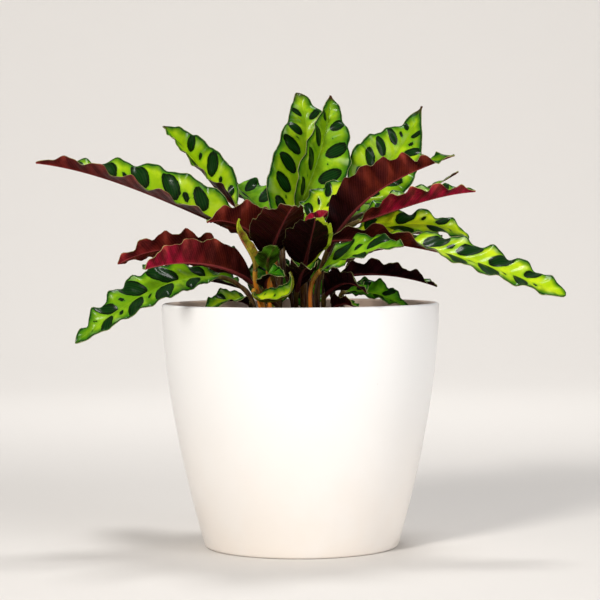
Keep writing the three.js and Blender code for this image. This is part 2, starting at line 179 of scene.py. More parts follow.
# Colours, in linear light
FLOOR_PAINT = (0.66, 0.63, 0.595)
GLAZE = (0.8, 0.79, 0.775)
GLAZE_CLOUD = (0.82, 0.8, 0.775)
# painted reflection of a warm wooden table, low on the pot
PAINTED_TABLE_REFLECTION = (0.8, 0.7, 0.6)
GLAZE_INSIDE = (0.8, 0.58, 0.43)
GLAZE_SPECK = (0.3, 0.22, 0.17)
DARK_EARTH = (0.012, 0.007, 0.004)
BROWN_EARTH = (0.06, 0.034, 0.018)
CRUMB_EDGE = (0.1, 0.06, 0.035)
GRAIN_WHITE = (0.7, 0.68, 0.62)
DRY_BROWN = (0.06, 0.02, 0.008)

# Colours of a leaf from above. A pair holds those of a green leaf and of a lime one
GROUND = ((0.02, 0.15, 0.002), (0.34, 0.5, 0.003))
BRIGHT = ((0.15, 0.4, 0.006), (0.56, 0.64, 0.012))
# painted shade in the troughs of the waves
TROUGH_SHADE_GREEN = (0.015, 0.09, 0.002)
OUTER_GREEN = (0.02, 0.12, 0.002)
# a painted highlight, laid as pale patches on some wave crests
PAINTED_SHEEN = (0.52, 0.64, 0.3)
HALO_GREEN = (0.06, 0.25, 0.006)
OVAL_RIM = (0.0003, 0.004, 0.0006)
OVAL_MIDDLE = (0.0008, 0.02, 0.002)
MARGIN_GREEN = (0.004, 0.04, 0.004)
VEIN_LIME = (0.2, 0.36, 0.03)
RIB_LIME = (0.2, 0.34, 0.02)
EDGE_STRAW = (0.42, 0.42, 0.16)
NECK_OLIVE = (0.12, 0.09, 0.012)

# Colours of a leaf from below. A pair holds those of a maroon leaf darkened to black as painted shade and of
# a bright red one
# maroon darkened almost to black: painted shade
SHADE_MAROON = (0.004, 0.001, 0.0015)
BRICK = (0.1, 0.012, 0.005)
CRIMSON = (0.38, 0.005, 0.038)
# painted highlight on the wave crests of the lower face
CREST_HIGHLIGHT_RED = ((0.02, 0.003, 0.003), (0.48, 0.075, 0.05))
# dark red: painted shade in the troughs and pleat folds, and random dark blotches
SHADE_AND_BLOTCH_RED = ((0.003, 0.001, 0.001), (0.05, 0.003, 0.004))
OVAL_RED = (0.02, 0.003, 0.005)
VEIN_RED = ((0.02, 0.005, 0.005), (0.4, 0.07, 0.055))
RIB_RED = ((0.015, 0.004, 0.004), (0.36, 0.06, 0.06))
EDGE_TAN = ((0.2, 0.2, 0.08), (0.42, 0.36, 0.14))
YOUNG_GREEN = ((0.035, 0.17, 0.006), (0.34, 0.44, 0.015))

# Colours of a stalk. A pair holds those of a dark one, darkened as painted shade, and of an orange one
# dark red-brown darkened almost to black: painted shade of the plant's centre
STALK_DARK_SHADE = (0.006, 0.0015, 0.0015)
STALK_BROWN = (0.05, 0.011, 0.004)
STALK_ORANGE = (0.66, 0.17, 0.012)
STREAK = ((0.014, 0.004, 0.003), (0.5, 0.3, 0.03))
KNEE = ((0.02, 0.008, 0.004), (0.4, 0.34, 0.05))

# The leaves, as in the construction model
# foot: where the stalk stands, as x and y.
# seen: the base, a third, two thirds and the tip of the midrib. Each is given in millimetres right
# and up, as seen on the plane through the axis, followed by its own depth y.
# width: of the blade laid flat.
# roll: turn of the blade about its midrib, left side up, in degrees from base to tip.
# fold: how far both halves lift from flat, in degrees from base to tip.
# waves: how many there are along a margin. wave: how high they are. phase: where they start.
# point: how slim the tip is.
# heading: direction of the leaf seen from above, where its midrib is too steep to tell.
LEAVES = {
    "left_long": dict(
        foot=[-13, -1], seen=[[-24, 177.5, -2], [-67, 196, -7], [-110, 213, -11.5], [-153, 223, -16]],
        width=37, roll=[-42, -42, -18, 26], fold=[50, 48, 33, 25],
        waves=7, wave=1.9, phase=0.4, point=0.72,
    ),
    "left_short": dict(
        foot=[-19, -9], seen=[[-18, 174, -22], [-28, 182, -34], [-40, 188, -45], [-54, 188, -56]],
        width=32, roll=[25, 30, 30], fold=[30, 30],
        waves=4, wave=1.6, phase=0.1, point=0.8,
    ),
    "left_upper": dict(
        foot=[-12, 6], seen=[[-36, 197, 16], [-51, 211, 28], [-65, 228.5, 40], [-79, 243.5, 52]],
        width=31, roll=[5, -20, -29, -30, -30], fold=[55, 52, 52, 50, 42],
        waves=5, wave=1.3, phase=0.7, point=0.8,
    ),
    "left_back": dict(
        foot=[-12, 19], seen=[[-16, 187, 30], [-24, 197, 46], [-33, 205, 62], [-45, 212, 80]],
        width=38, roll=[0, 0], fold=[25, 25],
        waves=5, wave=2.4, phase=0.2, point=0.8,
    ),
    "left_red": dict(
        foot=[-20, -16], seen=[[-28, 153, -24], [-49, 162.5, -46], [-71, 164.5, -68], [-90, 161, -90]],
        width=28, roll=[35, 38, 38], fold=[38, 38],
        waves=5, wave=1.2, phase=0.5, point=0.5,
    ),
    "left_brown": dict(
        foot=[-22, -4], seen=[[-38, 163, -6], [-60, 171, -12], [-83, 172, -20], [-106, 164, -28]],
        width=24, roll=[45, 45, 40], fold=[15, 15],
        waves=6, wave=2, phase=0.8, point=0.6,
    ),
    "left_droop": dict(
        foot=[-26, 6], seen=[[-46, 156, 8], [-75, 153, 0], [-103, 139, -8], [-131, 118, -14]],
        width=31, roll=[-35, -35, -40], fold=[12, 12],
        waves=7, wave=2, phase=0.3, point=0.65,
    ),
    "left_low": dict(
        foot=[-29, -12], seen=[[-30, 141, -14], [-38, 143, -22], [-47, 141, -30], [-56, 136, -38]],
        width=17, roll=[-20, -20], fold=[25, 25],
        waves=3, wave=1.2, phase=0.6, point=0.8,
    ),
    "top_left": dict(
        foot=[-4, 12], seen=[[-9, 178, 16], [-1, 207, 30], [4, 236, 42], [-2, 262.5, 54]],
        width=42, roll=[0, 0], fold=[20, 20],
        waves=5, wave=1.8, phase=0.1, point=0.75, heading=100,
    ),
    "top_right": dict(
        foot=[3, 6], seen=[[-3, 190, 12], [7, 214, 20], [14.5, 238, 28], [18, 261, 34]],
        width=40, roll=[46, 44, 36], fold=[36, 34],
        waves=5, wave=1.6, phase=0.45, point=0.9, heading=80,
    ),
    "right_upper": dict(
        foot=[8, 14], seen=[[30, 197, 28], [45, 215, 36], [59, 231, 44], [71, 254.5, 52]],
        width=44, roll=[0, 0, -10, -40], fold=[25, 25, 20],
        waves=5, wave=1.8, phase=0.9, point=1.15, heading=100,
    ),
    "right_brown": dict(
        foot=[10, -8], seen=[[16, 171, -13], [36, 198, -31], [61, 214.5, -46], [90, 226, -60]],
        width=33, roll=[-16, -16, -16, -12, 70], fold=[58, 56, 50, 40],
        waves=8, wave=2.2, phase=0.25, point=1,
    ),
    "right_pink": dict(
        foot=[13, -3], seen=[[34, 188, 2], [56, 195, 6], [79, 201.5, 9], [102, 205, 11]],
        width=27, roll=[0, 0, 5], fold=[40, 40],
        waves=5, wave=1.8, phase=0.6, point=0.8,
    ),
    "right_long": dict(
        foot=[8, -22], seen=[[13, 177, -26], [60, 174.5, -31], [108, 162, -38], [154, 144, -46]],
        width=36, roll=[-20, -12, 0, 20, 26, 28, 30], fold=[24, 24, 22, 14, 12, 10, 8],
        waves=8, wave=1.8, phase=0.15, point=0.42,
    ),
    "right_over": dict(
        foot=[20, 2], seen=[[30, 179, 0], [50, 184.5, 3], [76, 185.5, 7], [98, 177.5, 11]],
        width=27, roll=[30, 32], fold=[8, 8],
        waves=5, wave=1.9, phase=0.35, point=0.5,
    ),
    "right_near": dict(
        foot=[6, -50], seen=[[12, 159.5, -54], [26, 166.5, -60], [42, 171, -68], [60, 173.5, -80]],
        width=40, roll=[30, 28, 22, 15], fold=[10, 10, 12],
        waves=4, wave=1.5, phase=0.75, point=0.8,
    ),
    "right_dark": dict(
        foot=[22, -8], seen=[[20, 155.5, -4], [40, 157.5, -10], [60, 155.5, -14], [79.5, 150, -20]],
        width=19, roll=[-20, -20], fold=[35, 35],
        waves=5, wave=1.6, phase=0.05, point=0.8,
    ),
    "right_low": dict(
        foot=[25, -18], seen=[[26, 147, -22], [38, 147, -26], [50, 143.5, -29], [64, 137, -32]],
        width=20, roll=[30, 30], fold=[20, 20],
        waves=4, wave=1.3, phase=0.55, point=0.8,
    ),
    "right_thin": dict(
        foot=[19, 11], seen=[[36, 192, 17], [56, 199, 24], [75, 207, 30], [92, 216.5, 36]],
        width=14, roll=[-8, -8], fold=[5, 5],
        waves=3, wave=0.8, phase=0.2, point=0.8,
    ),
    "front_left": dict(
        foot=[-17, -23], seen=[[-18, 166, -34], [-14, 178, -56], [-9, 189, -80], [-4, 197, -104]],
        width=32, roll=[0, 0], fold=[25, 25],
        waves=4, wave=1.1, phase=0.3, point=0.8,
    ),
    "front_right": dict(
        foot=[1, -20], seen=[[2, 160, -36], [4.5, 171, -56], [7, 181, -76], [9, 190, -94]],
        width=30, roll=[0, 0], fold=[25, 25],
        waves=4, wave=1.1, phase=0.85, point=0.8,
    ),
    "centre_lime": dict(
        foot=[2, -6], seen=[[4, 184, -4], [11, 193, -2], [20, 203, 0], [30, 213, 2]],
        width=26, roll=[35, 35], fold=[20, 20],
        waves=4, wave=1.5, phase=0.4, point=0.8,
    ),
    "centre_bud": dict(
        foot=[4, -12], seen=[[5, 181, -22], [8, 186, -25], [12, 190, -28], [16, 194, -32]],
        width=13, roll=[-34, -34], fold=[40, 40],
        waves=2, wave=0.6, phase=0.3, point=0.8,
    ),
    "unrolling": dict(
        foot=[-22, -25], seen=[[-26, 160, -38], [-29, 170, -44], [-35, 180, -48], [-35, 190, -50]],
        width=9, roll=[0, 60], fold=[60, 60],
        waves=2, wave=0.4, phase=0, point=0.8, heading=180,
    ),
    "small_upper": dict(
        foot=[-13, -28], seen=[[-18, 160, -40], [-19, 165, -48], [-17, 170, -56], [-14, 174, -64]],
        width=14, roll=[0, 0], fold=[20, 20],
        waves=2, wave=0.8, phase=0.3, point=0.8,
    ),
    "small_lower": dict(
        foot=[-8, -33], seen=[[-21, 150, -44], [-19, 156, -50], [-15, 158, -56], [-9, 156, -62]],
        width=14, roll=[30, 30], fold=[20, 20],
        waves=2, wave=0.8, phase=0.6, point=0.8,
    ),
    "crescent": dict(
        foot=[-19, -36], seen=[[-27, 147, -44], [-19, 142, -50], [-7, 146, -56], [-6, 159, -62]],
        width=16, roll=[30, 30], fold=[40, 40],
        waves=2, wave=0.5, phase=0.1, point=0.8, heading=0,
    ),
    "front_low": dict(
        foot=[20, -36], seen=[[19, 137, -46], [23, 140, -52], [28, 140, -58], [34, 137, -63]],
        width=13, roll=[-20, -20], fold=[30, 30],
        waves=3, wave=1, phase=0.9, point=0.8,
    ),
    "back_high": dict(
        foot=[4, 24], seen=[[6, 188, 44], [7, 212, 60], [8, 230, 76], [8, 240, 98]],
        width=36, roll=[0, 0], fold=[25, 20],
        waves=5, wave=2, phase=0.5, point=0.8,
    ),
    "back_middle": dict(
        foot=[-3, 30], seen=[[-2, 168, 46], [1, 178, 70], [2, 178, 94], [0, 164, 116]],
        width=34, roll=[0, 0], fold=[20, 15],
        waves=6, wave=2, phase=0.15, point=0.7,
    ),
    "back_right": dict(
        foot=[14, 24], seen=[[20, 178, 40], [32, 190, 60], [43, 195, 80], [53, 188, 104]],
        width=36, roll=[0, 0], fold=[25, 20],
        waves=6, wave=2, phase=0.7, point=0.7,
    ),
    "back_left": dict(
        foot=[-20, 24], seen=[[-41, 162, 44], [-53, 167, 58], [-66, 163, 76], [-79, 149, 96]],
        width=36, roll=[0, 0], fold=[20, 20],
        waves=6, wave=2, phase=0.35, point=0.7,
    ),
    "back_low_right": dict(
        foot=[6, 40], seen=[[4, 137, 54], [5, 147, 62], [6, 158, 71], [7, 169, 80]],
        width=32, roll=[0, 0], fold=[15, 15],
        waves=4, wave=1.5, phase=0.8, point=0.7, heading=80,
    ),
    "side_left": dict(
        foot=[-26, 16], seen=[[-36, 151, 26], [-53, 154.5, 40], [-70, 153.5, 54], [-84, 145, 70]],
        width=30, roll=[0, 0], fold=[20, 20],
        waves=5, wave=1.8, phase=0.6, point=0.7,
    ),
    "back_low_left": dict(
        foot=[-12, 32], seen=[[-15, 138, 43], [-17, 150, 49], [-18, 163, 54], [-19, 176, 56]],
        width=30, roll=[0, 0], fold=[15, 15],
        waves=4, wave=1.5, phase=0.25, point=0.7, heading=100,
    ),
    "front_dark": dict(
        foot=[14, -40], seen=[[15, 146, -48], [22, 151, -58], [30, 152, -70], [39, 146, -82]],
        width=20, roll=[-30, -30], fold=[25, 25],
        waves=4, wave=1.4, phase=0.1, point=0.8,
    ),
    "front_under": dict(
        foot=[-2, -36], seen=[[-2, 148, -48], [0.5, 157, -62], [3, 161, -78], [6, 160, -94]],
        width=19, roll=[0, 0], fold=[25, 25],
        waves=4, wave=1.4, phase=0.45, point=0.8,
    ),
    "side_right": dict(
        foot=[24, 18], seen=[[34, 170, 26], [50, 178, 42], [66, 181, 58], [82, 178, 76]],
        width=32, roll=[10, 10], fold=[20, 20],
        waves=5, wave=1.8, phase=0.05, point=0.7,
    ),
}
# What a leaf looks like. The first five are one value or values from base to tip.
# lime: how yellow the green is. ember_and_shade: how red the lower face is, from maroon darkened to black as
# painted shade to bright red; leaves deep in the plant get low values as painted shade.
# stalk: from dark red-brown darkened to painted shade, to orange. dry: how brown the tip is. young: how
# green the lower face is.
# ovals: the large ones' size. gap: between them, in millimetres. between: the small ones' size.
# curl: the width of a green margin on the left half's lower face, in millimetres.
USUAL_LOOK = {"lime": 0.4, "ember_and_shade": 0.2, "stalk": 0.2, "dry": 0, "young": 0}
LOOKS = {
    "left_long": dict(lime=0.65, ember_and_shade=0.6),
    "left_short": dict(lime=0.4, ember_and_shade=0.55, stalk=0.7),
    "left_upper": dict(lime=0.7, ember_and_shade=0.35, dry=0.6),
    "left_back": dict(lime=0.15),
    "left_red": dict(lime=0.5, ember_and_shade=[0.4, 0.5, 0.85, 0.95], stalk=0.5),
    "left_brown": dict(lime=0.5, ember_and_shade=[0.4, 0.45, 0.6, 0.7]),
    "left_droop": dict(lime=0.3, ovals=1.35),
    "left_low": dict(lime=0.5),
    "top_left": dict(lime=0.5, dry=0.4, ovals=0.82, gap=14, between=0.4),
    "top_right": dict(lime=[0.35, 0.5], dry=1, ovals=0.85, gap=15, between=0.4),
    "right_upper": dict(lime=0.55, dry=1, ovals=0.72, gap=13),
    "right_brown": dict(lime=0.5, ember_and_shade=[0.02, 0.15, 0.5, 0.55, 0.5]),
    "right_pink": dict(lime=0.4, ember_and_shade=0.95),
    "right_long": dict(lime=[0.6, 0.8, 0.9], ovals=1.15, ember_and_shade=[0.3, 0.6, 0.5], stalk=0.1),
    "right_over": dict(lime=1, ovals=1.15),
    "right_near": dict(lime=0.25, stalk=0.7),
    "right_dark": dict(ember_and_shade=0.05),
    "right_low": dict(lime=0.05, ovals=1.2),
    "front_left": dict(ember_and_shade=[0.15, 0.2, 0.35], stalk=0.9),
    "front_right": dict(lime=1, ember_and_shade=0.1, curl=2.8),
    "centre_bud": dict(ember_and_shade=1),
    "centre_lime": dict(lime=1),
    "unrolling": dict(lime=1, ember_and_shade=[1, 0.9, 0.5, 0.2], stalk=1, young=[0.25, 0.7, 1, 1]),
    "crescent": dict(lime=1, stalk=0.8, young=0.8, ovals=0.3),
    "small_upper": dict(lime=0.1, ember_and_shade=0.05, young=0.85),
    "small_lower": dict(lime=0, ember_and_shade=0.05),
    "front_dark": dict(lime=0.2, ember_and_shade=0.06),
    "front_under": dict(lime=0.3, ember_and_shade=0.04),
    "back_low_left": dict(lime=0, ember_and_shade=0.1),
    "back_low_right": dict(lime=0, ember_and_shade=0.1),
    "back_left": dict(lime=0.2, ember_and_shade=0.1),
    "side_left": dict(lime=0.2, ember_and_shade=0.1),
    "back_right": dict(lime=0.2, ember_and_shade=0.1),
}


# Geometry helpers


def unit(vectors):
    return vectors / np.maximum(np.linalg.norm(vectors, axis=-1, keepdims=True), 1e-9)


def smooth(low, high, values):
    """0 below low, 1 above high, and a soft step between."""
    share = np.clip((values - low) / (high - low), 0, 1)
    return share * share * (3 - 2 * share)


def make_object(name, verts, faces, materials, slots=None, fields=None):
    """A smooth-shaded mesh object from points in millimetres."""
    mesh = bpy.data.meshes.new(name)
    mesh.from_pydata((np.asarray(verts) * MM).tolist(), [], faces)
    for material in materials:
        mesh.materials.append(material)
    if slots is not None:
        mesh.polygons.foreach_set("material_index", np.asarray(slots, np.int32))
    for key, values in (fields or {}).items():
        layer = mesh.attributes.new(key, "FLOAT", "POINT")
        layer.data.foreach_set("value", np.asarray(values, np.float32))
    mesh.polygons.foreach_set("use_smooth", np.ones(len(mesh.polygons), bool))
    mesh.update()
    obj = bpy.data.objects.new(name, mesh)
    bpy.context.scene.collection.objects.link(obj)
    return obj


# Leaves


def seen_point(right, up, depth):
    """The point at this depth that shows at this place on the plane through the axis."""
    k = (VIEW_DISTANCE + depth) / VIEW_DISTANCE
    return (right * k, depth, VIEW_HEIGHT + (up - VIEW_HEIGHT) * k)


def through(points, t):
    """The curve through four points that it meets at 0, 1/3, 2/3 and 1."""
    t = np.asarray(t, float)[:, None]
    a, b, c = 3 * t - 1, 3 * t - 2, t - 1
    return (
        points[0] * (-a * b * c / 2)
        + points[1] * (9 * t * b * c / 2)
        + points[2] * (-9 * t * a * c / 2)
        + points[3] * (t * a * b / 2)
    )


def along(values, t):
    """Values between those of a list that is spread evenly from base to tip."""
    values = np.atleast_1d(values)
    return np.interp(t, np.linspace(0, 1, len(values)), values)


def half_width(leaf, t):
    """Half the width of the blade at t, laid flat."""
    rise = np.sin(np.minimum(t / BASE_SHARE, 1) * math.pi / 2) ** BASE_ROUND
    fall = np.sin(np.clip((1 - t) / TIP_SHARE, 0, 1) * math.pi / 2) ** leaf["point"]
    return np.maximum(leaf["width"] / 2 * rise * fall, LEAST_HALF_WIDTH)


def wave_height(leaf, t, side):
    """How far the margin waves up or down at t, on the left for side 1 and on the right for -1."""
    calm = np.minimum(1, np.minimum(t / CALM_BASE, (1 - t) / CALM_TIP))
    turn = leaf["waves"] * t + leaf["phase"] + (0.5 if side > 0 else 0)
    size = 1 - SWELL + SWELL * np.sin(SWELL_RATE * t + SWELL_SHIFT * leaf["phase"] + side)
    ripple_turn = RIPPLE_RATE * leaf["waves"] * t + RIPPLE_SHIFT * leaf["phase"]
    ripple = RIPPLE * np.sin(2 * math.pi * ripple_turn + side)
    return calm * (leaf["wave"] * size * np.cos(2 * math.pi * turn) + ripple)


def leaf_axes(leaf, points, t):
    """Forward, left and up along the midrib, turned by the blade's roll."""
    forward = unit(through(points, t + SMALL_STEP) - through(points, t - SMALL_STEP))
    span = points[3] - points[0]
    heading = math.radians(leaf["heading"]) if "heading" in leaf else math.atan2(span[1], span[0])
    flat = np.array([-math.sin(heading), math.cos(heading), 0])
    left = unit(flat - (forward @ flat)[:, None] * forward)
    up = np.cross(forward, left)
    roll = np.radians(along(leaf["roll"], t))[:, None]
    return forward, np.cos(roll) * left + np.sin(roll) * up, np.cos(roll) * up - np.sin(roll) * left


def circle_ring(middle, left, up, radius):
    """Rings round a curve, in step with a blade's points: over the top from right to left and back below."""
    count = 2 * len(ACROSS)
    angle = math.pi * (1 - (2 * np.arange(count) + 1) / count)
    radius = np.asarray(radius)[:, None, None]
    return middle[:, None] + radius * (
        np.cos(angle)[None, :, None] * left[:, None] + np.sin(angle)[None, :, None] * up[:, None]
    )


def blade_rings(leaf, points, length, t):
    """Points over the upper face from right to left and back over the lower face, at each t."""
    _, left, up = leaf_axes(leaf, points, t)
    middle = through(points, t)
    fold = np.radians(along(leaf["fold"], t))[:, None]
    half = half_width(leaf, t)[:, None]
    out = np.abs(ACROSS)[None]
    side = np.sign(ACROSS)[None]
    wave = np.where(side > 0, wave_height(leaf, t, 1)[:, None], wave_height(leaf, t, -1)[:, None])
    wave = wave * out**WAVE_HOLD
    rib = rib_radius(t)[:, None]
    reach = half * out + SCALLOP * wave
    bulge = rib * np.sqrt(np.clip(1 - (reach / (RIB_SPREAD * rib)) ** 2, 0, 1))
    groove = GROOVE_DEPTH * rib * np.exp(-((reach / (GROOVE_SPREAD * rib)) ** 2))
    skin = BLADE_THICK + (MARGIN_THICK - BLADE_THICK) * out**THIN_POWER
    along_veins = t[:, None] * length - PLEAT_SLANT * reach
    pleat = np.sin(2 * math.pi * along_veins / PLEAT_STEP + PLEAT_SHIFT * side)
    pleat = PLEAT * pleat * 4 * out * (1 - out) * smooth(0, CALM_BASE, t)[:, None]
    rings = []
    for thick in (skin - groove, -skin - bulge):
        shift = side * (reach * np.cos(fold) - np.sin(fold) * (wave + thick))
        lift = reach * np.sin(fold) + half * CUP * out * (1 - out) + np.cos(fold) * wave + pleat
        lift = lift + np.where(side == 0, thick, thick * np.cos(fold))
        rings.append(middle[:, None] + shift[..., None] * left[:, None] + lift[..., None] * up[:, None])
    blade = np.concatenate([rings[0], rings[1][:, ::-1]], axis=1)
    round_end = circle_ring(middle, left, up, rib_radius(t))
    open_share = smooth(0, JOIN_SHARE, t)[:, None, None]
    return round_end * (1 - open_share) + blade * open_share


def rib_radius(t):
    """How thick the midrib is, which the stalk's knee runs into."""
    return RIB_TIP + (STALK_RADIUS * (1 + KNEE_SWELL) - RIB_TIP) * np.clip(1 - t, 0, 1) ** RIB_POWER


def stalk_rings(leaf, points):
    """Rings from the stalk's foot in the soil to the blade, and how far from the blade each of them is."""
    forward, left, _ = leaf_axes(leaf, points, np.array([0.0]))
    ground = np.array([*leaf["foot"], SOIL_TOP + SOIL_CROWN], float)
    span = np.linalg.norm(ground - points[0])
    risen = ground + [0, 0, STALK_RISE * span]
    ends = [ground, risen, points[0] - STALK_REACH * span * forward[0], points[0]]
    s = np.linspace(0, 1, STALK_RINGS + 1)[:, None]
    weights = [(1 - s) ** 3, 3 * s * (1 - s) ** 2, 3 * s * s * (1 - s), s**3]
    curve = sum(weight * end for weight, end in zip(weights, ends))
    middle = np.vstack([[*leaf["foot"], SOIL_TOP - STALK_DEPTH], curve])
    tangent = unit(np.gradient(middle, axis=0))
    tangent[-1] = forward[0]
    side = unit(left[0] - (tangent @ left[0])[:, None] * tangent)
    steps = np.linalg.norm(np.diff(middle, axis=0), axis=1)
    to_blade = np.append(np.cumsum(steps[::-1])[::-1], 0)
    radius = STALK_RADIUS * (1 + KNEE_SWELL * smooth(2 * KNEE_LENGTH, KNEE_LENGTH / 2, to_blade))
    rings = circle_ring(middle[:-1], side[:-1], np.cross(tangent, side)[:-1], radius[:-1])
    return rings, to_blade[:-1]


def oval_field(leaf, look, length, t):
    """How far inside an oval each point of the blade lies, in millimetres, and below 0 outside them."""
    half = half_width(leaf, t)[:, None]
    best = np.full((len(t), len(ACROSS)), float(NO_OVAL))
    out = half * np.abs(ACROSS)[None]
    count = max(2, round((LAST_OVAL - FIRST_OVAL) * length / look.get("gap", OVAL_STEP)))
    rng = random.Random(SEED + int(100 * leaf["phase"]) + len(leaf["seen"]) * leaf["waves"])
    for side in (-1, 1):
        for k in range(2 * count):
            large = k % 2 == 0
            step = k / 2 + (LEFT_SHIFT if side > 0 else 0)
            place = FIRST_OVAL + (LAST_OVAL - FIRST_OVAL) * step / count
            room = float(half_width(leaf, np.array([place]))[0])
            if room < LEAST_OVAL_ROOM or place > LAST_OVAL:
                continue
            if not large and rng.random() < SMALL_OVAL_CHANCE:
                continue
            size = room * rng.uniform(*OVAL_SIZES)
            size *= look.get("ovals", 1) if large else SMALL_OVAL * look.get("between", 1)
            long_axis, short_axis = OVAL_LONG * size, OVAL_SHORT * size
            centre_out = room * (OVAL_OUT if large else SMALL_OVAL_OUT)
            centre = place * length + OVAL_LEAN * centre_out
            dx = t[:, None] * length - centre
            dy = out - centre_out
            p = dx * math.sin(OVAL_SLANT) + dy * math.cos(OVAL_SLANT)
            q = dx * math.cos(OVAL_SLANT) - dy * math.sin(OVAL_SLANT)
            field = (1 - np.sqrt((p / long_axis) ** 2 + (q / short_axis) ** 2)) * short_axis
            best = np.where(np.sign(ACROSS)[None] == side, np.maximum(best, field), best)
    return best


def crest_field(leaf, t):
    """How high each point of the blade stands on the waves, from -1 in a trough to 1 on a crest."""
    left, right = (wave_height(leaf, t, side)[:, None] / leaf["wave"] for side in (1, -1))
    return np.where(ACROSS[None] > 0, left, right) * np.abs(ACROSS)[None] ** CREST_POWER


def leaf_faces(total, count, stalk_total):
    """Faces round rings of count points, with a cap at each end, and their material slots."""
    upper = len(ACROSS)
    faces, slots = [], []
    for i in range(total - 1):
        for k in range(count):
            n = (k + 1) % count
            faces.append((i * count + k, (i + 1) * count + k, (i + 1) * count + n, i * count + n))
            blade_slot = UPPER if k < upper - 1 else LOWER
            slots.append(STALK if i < stalk_total else blade_slot)
    foot, tip = total * count, total * count + 1
    last = (total - 1) * count
    for k in range(count):
        n = (k + 1) % count
        faces.append((k, n, foot))
        slots.append(STALK)
        faces.append((last + n, last + k, tip))
        slots.append(UPPER if k < upper - 1 else LOWER)
    return faces, slots


def leaf_fields(leaf, look, length, t, to_blade):
    """What the materials read at each point of a leaf, its rings first and then its foot and its tip."""
    count = 2 * len(ACROSS)
    half = half_width(leaf, t)[:, None]
    reach = half * np.abs(ACROSS)[None]
    grids = {
        "oval": oval_field(leaf, look, length, t),
        "margin": half - reach,
        "rib": reach / rib_radius(t)[:, None],
        "vein": t[:, None] * length - PLEAT_SLANT * reach,
        "crest": crest_field(leaf, t),
        "curl": np.where(ACROSS[None] > 0, look.get("curl", NO_OVAL) - half + reach, NO_OVAL),
    }
    fields = {}
    for key, grid in grids.items():
        both = np.concatenate([grid, grid[:, ::-1]], axis=1)
        edge = np.repeat(both[:1], len(to_blade), axis=0)
        fields[key] = np.append(np.concatenate([edge, both]).ravel(), [both[0, 0], both[-1, 0]])
    share = np.concatenate([np.zeros(len(to_blade)), t])
    fields["share"] = np.append(np.repeat(share, count), [0, 1])
    blade_far = np.concatenate([to_blade, -t * length])
    fields["to_blade"] = np.append(np.repeat(blade_far, count), [blade_far[0], blade_far[-1]])
    for key, usual in USUAL_LOOK.items():
        fields[key] = along(look.get(key, [usual, usual]), fields["share"])
    return fields


def make_leaf(name, leaf, materials):
    """One leaf, from the foot of its stalk in the soil to its tip."""
    points = np.array([seen_point(*q) for q in leaf["seen"]])
    midrib = through(points, np.linspace(0, 1, LENGTH_POINTS))
    length = np.linalg.norm(np.diff(midrib, axis=0), axis=1).sum()
    t = np.linspace(0, LAST_RING, int(length / RING_STEP) + MORE_RINGS)
    stalk, to_blade = stalk_rings(leaf, points)
    rings = np.concatenate([stalk, blade_rings(leaf, points, length, t)])
    verts = np.vstack([rings.reshape(-1, 3), rings[0].mean(0), points[3]])
    faces, slots = leaf_faces(len(rings), rings.shape[1], len(stalk))
    fields = leaf_fields(leaf, LOOKS.get(name, {}), length, t, to_blade)
    piece = make_object(f"leaf_{name}_fine", verts, faces, materials, slots, fields)
    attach(piece, "root")
    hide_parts(f"leaf_{name}")


# Materials


